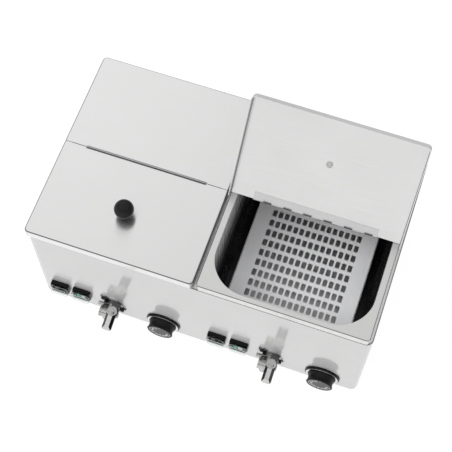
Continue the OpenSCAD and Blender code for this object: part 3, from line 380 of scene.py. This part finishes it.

# Tanks: drawn stainless basins, each with a folded rim that stands over the housing and a
# drain hole in its floor.

# The flats of rim and floor are pale. The walls are painted dark as shade, more so further
# down, with faint upright streaks of painted reflection and dark level bands.
STREAK = 6 * MM
STREAK_RISE = 250 * MM
STREAK_STRENGTH = 0.5
BAND = 22 * MM
BAND_LENGTH = 400 * MM
BAND_STRENGTH = 0.8
UNDER_INSERT = 98 * MM
SHADE_EDGE = 2 * MM
RIM_DEPTH = 20 * MM
FLOOR_DEPTH = 60 * MM
DARK_DEPTH = 110 * MM
PALE_DEPTH = 15 * MM
WALL_REACH = 20 * MM
STEEP = {1: 0.985, 2: 0.9}
FLAT_ROUGH = 0.42
WALL_SMOOTH = 0.22
WALL_ROUGH = 0.34
HAZE = 0.9
for side in SIDES:
    low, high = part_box("tank_" + side)
    centre = (low + high) / 2
    tank_finish, tree, shader = new_finish("drawn stainless, " + side, {"Metallic": 1.0})
    at = add(tree, "TexCoord").outputs
    place = add(tree, "SeparateXYZ", {0: at["Object"]}).outputs

    # A wall of the basin faces its middle. The outside of the rim's fold faces away from it.
    inward = add(tree, "VectorMath", {0: at["Object"], 1: centre}, operation="SUBTRACT")
    inward = add(tree, "VectorMath", {0: inward, 1: (-1, -1, 0)}, operation="MULTIPLY")
    inside = add(tree, "VectorMath", {0: inward, 1: at["Normal"]}, operation="DOT_PRODUCT")
    wall = add(tree, "MapRange", {0: inside.outputs["Value"], 2: WALL_REACH}, **SMOOTH)
    steep = add(tree, "MapRange", {0: facing(tree)["Z"], **STEEP}, **SMOOTH)
    wall = add(tree, "Math", {0: wall, 1: steep}, operation="MULTIPLY")

    # The floor beside the insert is painted dark, as shade, where it shows only the walls.
    beside = add(tree, "Math", {0: place["X"], 1: centre.x}, operation="SUBTRACT")
    beside = add(tree, "Math", {0: beside}, operation="ABSOLUTE")
    beside = {0: beside, 1: UNDER_INSERT, 2: UNDER_INSERT + SHADE_EDGE}
    beside = add(tree, "MapRange", beside, **SMOOTH)
    bottom = add(tree, "Mix", {0: beside, 6: "#dcdcdc", 7: "#3a3a3c"}, **COLOURS)
    # A dark line is painted along the rim's folds, as painted shade.
    rim = add(tree, "Mix", {0: along_bends(tree), 6: "#dfdfde", 7: "#77777a"}, **COLOURS)
    sunk = {0: place["Z"], 1: high.z - RIM_DEPTH, 2: high.z - FLOOR_DEPTH}
    sunk = add(tree, "MapRange", sunk, **SMOOTH)
    flat = add(tree, "Mix", {0: sunk, 6: rim, 7: bottom}, **COLOURS)

    # Painted shade: the walls darken further down, with upright streaks of painted reflection and
    # dark level bands.
    streak = mottle(tree, (STREAK, STREAK, STREAK_RISE), detail=3.0)
    streak = add(tree, "MapRange", {0: streak, **NOISE})
    streaks = add(tree, "Math", {0: streak, 1: STREAK_STRENGTH}, operation="MULTIPLY")
    bands = mottle(tree, (BAND_LENGTH, BAND_LENGTH, BAND), detail=1.0)
    bands = add(tree, "MapRange", {0: bands, **NOISE})
    bands = add(tree, "Math", {0: bands, 1: BAND_STRENGTH}, operation="MULTIPLY")
    risen = {0: place["Z"], 1: high.z - DARK_DEPTH, 2: high.z - PALE_DEPTH}
    risen = add(tree, "MapRange", risen, **SMOOTH)
    painted_wall_shade = add(tree, "Mix", {0: risen, 6: "#3a3a3c", 7: "#ffffff"}, **COLOURS)
    painted_wall_shade = add(tree, "Mix", {0: streaks, 6: painted_wall_shade, 7: "#2a2a2c"}, **COLOURS)
    painted_wall_shade = add(tree, "Mix", {0: bands, 6: painted_wall_shade, 7: "#0a0a0b"}, **COLOURS)

    colour = add(tree, "Mix", {0: wall, 6: flat, 7: painted_wall_shade}, **COLOURS)
    metal = add(tree, "Math", {0: wall, 1: -HAZE, 2: 1.0}, operation="MULTIPLY_ADD")
    rough = add(tree, "MapRange", {0: streak, **NOISE, 3: WALL_SMOOTH, 4: WALL_ROUGH})
    rough = add(tree, "Mix", {0: steep, 2: FLAT_ROUGH, 3: rough})
    fill(tree, shader, {"Base Color": colour, "Metallic": metal, "Roughness": rough})
    wear(tank_finish, "tank_" + side)

# Heaters, clamps, bulbs, cut-outs and pipes: working parts under the tanks, clamped or
# screwed to them. They only show when the base plate is off.

# Its own heat tints the heater's sheath brown. Copper and brass keep the fine marks of the
# drawing die and the lathe, and nylon mouldings are a dull black.
sheath, tree, shader = new_finish("heat-tinted heater sheath", {"Metallic": 1.0})
heat = mottle(tree, 25 * MM, detail=3.0)
colour = add(tree, "MapRange", {0: heat, **NOISE})
colour = add(tree, "Mix", {0: colour, 6: "#8d8277", 7: "#6f6a70"}, **COLOURS)
rough = add(tree, "MapRange", {0: heat, **NOISE, 3: 0.3, 4: 0.45})
fill(tree, shader, {"Base Color": colour, "Roughness": rough})

copper = mottled_finish(
    "drawn copper",
    {"Base Color": "#c07d56", "Metallic": 1.0},
    spots=(100 / 3 * MM, 10 / 9 * MM, 10 / 9 * MM),
    shine=(0.22, 0.4),
)
brass = mottled_finish(
    "turned brass",
    {"Base Color": "#c9a75a", "Metallic": 1.0},
    spots=0.6 * MM,
    shine=(0.22, 0.36),
)
nylon = mottled_finish(
    "moulded black nylon",
    {"Base Color": "#1c1c1d", "Specular IOR Level": 0.3},
    spots=0.4 * MM,
    detail=3.0,
    shine=(0.42, 0.55),
    relief=(0.02 * MM, 0.2),
)
for side in SIDES:
    wear(sheath, "heater_" + side)
    wear(mill_finish, "heater_clamp_" + side, "drain_pipe_" + side)
    wear(nylon, "thermostat_" + side)
wear(copper, "sensor_bulbs")
wear(nylon, "overheat_cutouts")
wear(brass, "tap_locknuts")

# Perforated inserts: false bottoms of pressed stainless sheet on two folded legs. They keep
# the food off the hot floor, let the water through and lift out.

# Tumbling leaves a milky satin, which looks nearly white and shows no clear reflection.
satin = mottled_finish(
    "tumbled satin stainless",
    {"Metallic": 0.15},
    spots=0.7 * MM,
    detail=3.0,
    shine=(0.28, 0.36),
    relief=(0.03 * MM, 0.12),
)
tree = satin.node_tree
patch = add(tree, "MapRange", {0: mottle(tree, 40 * MM), **NOISE})
colour = add(tree, "Mix", {0: patch, 6: "#f5f5f7", 7: "#eff0f1"}, **COLOURS)
fill(tree, tree.nodes["Principled BSDF"], {"Base Color": colour})
wear(satin, "perforated_insert_left", "perforated_insert_right")

# Covers: each tank has a folded cap in two halves. The rear half stays put, and the front
# half is the lid. A piano hinge, welded under both, joins them.

# On level sheet a thin dark line is painted along each fold that looks up, and side skirts
# are painted grey, both as painted shade, and its base is painted a little lighter. The lid
# that starts open has no such line, because its sheet looks another way. A level hinge is
# painted darker, with painted shade on either side of its barrel's crown.
lid_finish = ground_sheet(
    "ground stainless lid sheet", ("#e6e6e6", "#e3e3e2"), shine=(0.2, 0.25), sides="#9c9c9e"
)
cover_finish = ground_sheet(
    "ground stainless cover sheet",
    ("#ebebeb", "#e8e8e7"),
    shine=(0.2, 0.25),
    sides="#9c9c9e",
    bends="#7c7c7e",
)
leaf_finish = ground_sheet("rolled hinge steel", ("#e4e4e4", "#dadada"), shine=(0.26, 0.32))
shaded_barrel_finish = ground_sheet(
    "rolled hinge steel with painted shade", ("#c4c4c4", "#b8b8b8"), shine=(0.26, 0.32), bends="#525254"
)
wear(cover_finish, "rear_cover_left", "rear_cover_right", "front_lid_left")
wear(lid_finish, "front_lid_right")
wear(shaded_barrel_finish, "fixed_leaf_left", "lid_leaf_left", "fixed_leaf_right")
wear(leaf_finish, "lid_leaf_right")
wear(screw_steel, "hinge_pin_left", "hinge_pin_right")

# Ball knobs: black thermoset balls on a short neck, each held by a screw from under the lid.
# They are polished after moulding, which leaves a soft highlight with a slight ripple.
phenolic = mottled_finish(
    "polished black phenolic",
    {"Base Color": "#121213", "Specular IOR Level": 0.22},
    spots=3 * MM,
    shine=(0.26, 0.36),
    relief=(0.1 * MM, 0.05),
)
for side in SIDES:
    wear(phenolic, "lid_ball_" + side)
    wear(screw_steel, "lid_screw_" + side)

# Switches and lamps: snap-in frames of glossy black ABS, a rocker in one and two lenses in
# the other, under soft clear splash caps.

# Gloss gives the frames sharp thin lights, and the rockers' satin broad ones. The lenses
# glimmer through their ribs, and the caps are no more than a clear gleam.
gloss_abs = mottled_finish(
    "glossy black ABS",
    {"Base Color": "#080809", "Specular IOR Level": 0.2},
    spots=2 * MM,
    shine=(0.16, 0.26),
)
rocker_abs = mottled_finish(
    "satin black ABS",
    {"Base Color": "#1f1f21", "Specular IOR Level": 0.4},
    spots=0.3 * MM,
    detail=3.0,
    shine=(0.28, 0.4),
)
clear_cap = mottled_finish(
    "clear silicone",
    {"Base Color": "#f6f9f8", "IOR": 1.08, "Transmission Weight": 1.0},
    spots=4 * MM,
    shine=(0.02, 0.06),
)
RIB = 1.2 * MM
RIB_DEPTH = 0.15 * MM
RIB_STRENGTH = 0.5


def lens_finish(name, colour, clear):
    """Moulded lens: tinted plastic with fine upright ribs on its back that spread the light."""
    lens = {"Base Color": colour, "Roughness": 0.16, "IOR": 1.4, "Transmission Weight": clear}
    material, tree, shader = new_finish(name, lens)
    ribs = {"Vector": add(tree, "TexCoord").outputs["Object"], "Scale": 1 / RIB / math.tau}
    ribs = add(tree, "TexWave", ribs, bands_direction="X").outputs["Fac"]
    ribs = {"Height": ribs, "Distance": RIB_DEPTH, "Strength": RIB_STRENGTH}
    fill(tree, shader, {"Normal": add(tree, "Bump", ribs)})
    return material


green_lens = lens_finish("green polycarbonate", "#1fa07a", 0.25)
clear_lens = lens_finish("clear polycarbonate", "#eef2f0", 0.45)
for side in SIDES:
    wear(gloss_abs, "switch_frame_" + side, "lamp_frame_" + side)
    wear(rocker_abs, "rocker_" + side)
wear(green_lens, "green_lenses")
wear(clear_lens, "clear_lenses")
wear(clear_cap, "splash_caps")

# Thermostat dials: a black bezel with a bright ring, and a knob with a grey plate let into
# its face.

# The knob's mould was spark-eroded, which leaves a fine dull grain. Chrome makes the ring one
# thin bright line, and the anodised plate is dark grey with a faint shimmer.
knob_abs = mottled_finish(
    "spark-eroded black ABS",
    {"Base Color": "#0b0b0c", "Specular IOR Level": 0.22},
    spots=0.35 * MM,
    detail=4.0,
    shine=(0.34, 0.46),
    relief=(0.02 * MM, 0.25),
)
trim = mottled_finish(
    "polished chrome trim",
    {"Base Color": "#dcdcdc", "Metallic": 1.0},
    spots=12 * MM,
    shine=(0.06, 0.14),
)
plate_print, tree, shader = new_finish(
    "anodised grey dial plate", {"Metallic": 0.4, "Specular IOR Level": 0.3}
)
spun = add(tree, "MapRange", {0: mottle(tree, 1.5 * MM, detail=3.0), **NOISE})
colour = add(tree, "Mix", {0: spun, 6: "#343435", 7: "#404041"}, **COLOURS)
rough = add(tree, "MapRange", {0: spun, **NOISE, 3: 0.34, 4: 0.44})
fill(tree, shader, {"Base Color": colour, "Roughness": rough})
for side in SIDES:
    wear(gloss_abs, "dial_bezel_" + side)
    wear(knob_abs, "dial_knob_" + side)
    wear(plate_print, "dial_plate_" + side)
wear(trim, "bezel_rings")

# Print on the dials: a tick every 15 degrees, and plain temperatures from 30 to 110 that run
# against the clock, so that turning the knob clockwise brings higher ones to the mark. The
# ink is white and matt on the plate, and a black line on the ring is the mark.
FIGURE = 4.6 * MM
FIGURE_AT = 12.6 * MM
FIGURE_STEP = 30
FIGURES_FROM = 20
TURN_FOR_ONE = 3
TICK_AT = 17.2 * MM
TICK = (0.7 * MM, 0.08 * MM, 2.4 * MM)
TICK_STEP = 15
TURN = 270
MARK_LINE = (1.0 * MM, 0.08 * MM, 3.0 * MM)
MARK_DROP = 1.7 * MM
INK = 0.03 * MM
CURVE_STEPS = 3


def bar(name, size, at, turn):
    """A thin printed bar that stands on the panel's side, turned about the Y axis."""
    bpy.ops.mesh.primitive_cube_add(size=1, location=at, rotation=(0, turn, 0))
    made = bpy.context.object
    made.name = name
    made.scale = size
    return made


def figure(word, size, spot):
    """A flat printed word, laid out by a matrix whose Z axis looks out of the surface."""
    bpy.ops.object.text_add()
    made = bpy.context.object
    made.name = "print_" + word
    made.data.body = word
    made.data.size = size
    made.data.align_x = "CENTER"
    made.data.align_y = "CENTER"
    made.data.extrude = INK
    made.data.resolution_u = CURVE_STEPS
    made.matrix_world = spot
    bpy.ops.object.convert(target="MESH")
    return bpy.context.object


def joined(name, pieces, material, body):
    """Makes pieces one, with its place in its mesh, one finish and the body it rides on."""
    bpy.ops.object.select_all(action="DESELECT")
    for piece in pieces:
        piece.select_set(True)
    bpy.context.view_layer.objects.active = pieces[0]
    bpy.ops.object.transform_apply(location=True, rotation=True, scale=True)
    if len(pieces) > 1:
        bpy.ops.object.join()
    made = bpy.context.object
    bpy.ops.object.origin_set(type="ORIGIN_CURSOR")
    made.name = name
    made.data.materials.clear()
    made.data.materials.append(material)
    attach(made, body)


white_ink = mottled_finish(
    "white pad-printing ink", {"Base Color": "#e9e9e6"}, spots=0.4 * MM, shine=(0.4, 0.6)
)
black_ink = mottled_finish(
    "black pad-printing ink",
    {"Base Color": "#121212", "Specular IOR Level": 0.3},
    spots=0.4 * MM,
    shine=(0.4, 0.6),
)
STAND = Matrix.Rotation(math.pi / 2, 4, "X")
for side in SIDES:
    low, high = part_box("dial_plate_" + side)
    middle = (low + high) / 2
    face = Vector((middle.x, low.y, middle.z))
    marks = []
    for degrees in range(0, TURN + 1, TICK_STEP):
        turn = math.radians(degrees)
        out = Vector((-math.sin(turn), 0, math.cos(turn)))
        marks.append(bar("tick", TICK, face + out * TICK_AT, -turn))
        if degrees and degrees % FIGURE_STEP == 0:
            warmth = str(FIGURES_FROM + degrees // TURN_FOR_ONE)
            at = Matrix.Translation(face + out * FIGURE_AT) @ Matrix.Rotation(-turn, 4, "Y")
            marks.append(figure(warmth, FIGURE, at @ STAND))
    joined("dial_print_" + side, marks, white_ink, nodes["dial_plate_" + side]["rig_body"])
    ring_low, ring_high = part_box("bezel_rings")
    top = Vector((middle.x, ring_low.y, ring_high.z - MARK_DROP))
    joined("dial_mark_" + side, [bar("mark", MARK_LINE, top, 0)], black_ink, "warmer")

# Print on the rockers: a line and a ring, for on and off, laid on the faces that the rocker
# turns to either side.
SIGN = 5.0 * MM
SIGN_APART = 4.6 * MM
IN_FRONT = 10 * MM
for side in SIDES:
    rocker = nodes["rocker_" + side]
    low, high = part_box("rocker_" + side)
    middle = (low + high) / 2
    signs = []
    for word, shift in (("I", -SIGN_APART), ("O", SIGN_APART)):
        before = Vector((middle.x + shift, low.y - IN_FRONT, middle.z))
        _, spot, out, _ = rocker.ray_cast(before, Vector((0, 1, 0)))
        across = Vector((0, 0, 1)).cross(out).normalized()
        axes = Matrix((across, out.cross(across), out)).transposed().to_4x4()
        signs.append(figure(word, SIGN, Matrix.Translation(spot) @ axes))
    joined("rocker_print_" + side, signs, white_ink, rocker["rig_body"])

# Drain taps: cast brass bodies on a screwed flange, with a cast lever on top that opens the
# valve in a quarter turn.

# Satin chrome makes the body a soft grey, and polished chrome the lever a brighter one. On both,
# faces that look to the sides are painted dark, as painted reflection.


def chromed_casting(name, colours, painted_flank_reflection, spots, detail, shine):
    """Chrome over the slight waves of a casting."""
    material, tree, shader = new_finish(name, {"Metallic": 1.0})
    cast = add(tree, "MapRange", {0: mottle(tree, spots, detail), **NOISE})
    colour = add(tree, "Mix", {0: cast, 6: colours[0], 7: colours[1]}, **COLOURS)
    # Faces that look to the sides are painted dark, as painted reflection.
    colour = add(tree, "Mix", {0: towards_sides(tree), 6: colour, 7: painted_flank_reflection}, **COLOURS)
    rough = add(tree, "MapRange", {0: cast, 3: shine[0], 4: shine[1]}, **SMOOTH)
    fill(tree, shader, {"Base Color": colour, "Roughness": rough})
    return material


tap_chrome = chromed_casting(
    "satin chrome on cast brass",
    ("#c0c0be", "#b2b2b0"),
    painted_flank_reflection="#6c6c6e",
    spots=4 * MM,
    detail=3.0,
    shine=(0.1, 0.24),
)
lever_chrome = chromed_casting(
    "polished chrome casting",
    ("#d6d6d4", "#cacac8"),
    painted_flank_reflection="#4c4c4e",
    spots=5 * MM,
    detail=2.0,
    shine=(0.05, 0.14),
)
black_oxide = mottled_finish(
    "black oxide steel",
    {"Base Color": "#18181a", "Metallic": 0.3},
    spots=0.5 * MM,
    shine=(0.3, 0.45),
)
for side in SIDES:
    wear(tap_chrome, "tap_body_" + side)
    wear(lever_chrome, "tap_lever_" + side)
    wear(trim, "tap_ball_" + side)
wear(black_oxide, "tap_flange_screws")

# Rear: a black nylon cable gland, screwed into the wall, and behind it the terminal block
# that takes the mains cable. Its moulding is an even white with a slight gloss.
block_white = mottled_finish(
    "white moulded terminal block", {"Base Color": "#dcdad0"}, spots=0.6 * MM, shine=(0.38, 0.5)
)
wear(nylon, "cable_gland")
wear(block_white, "terminal_block")
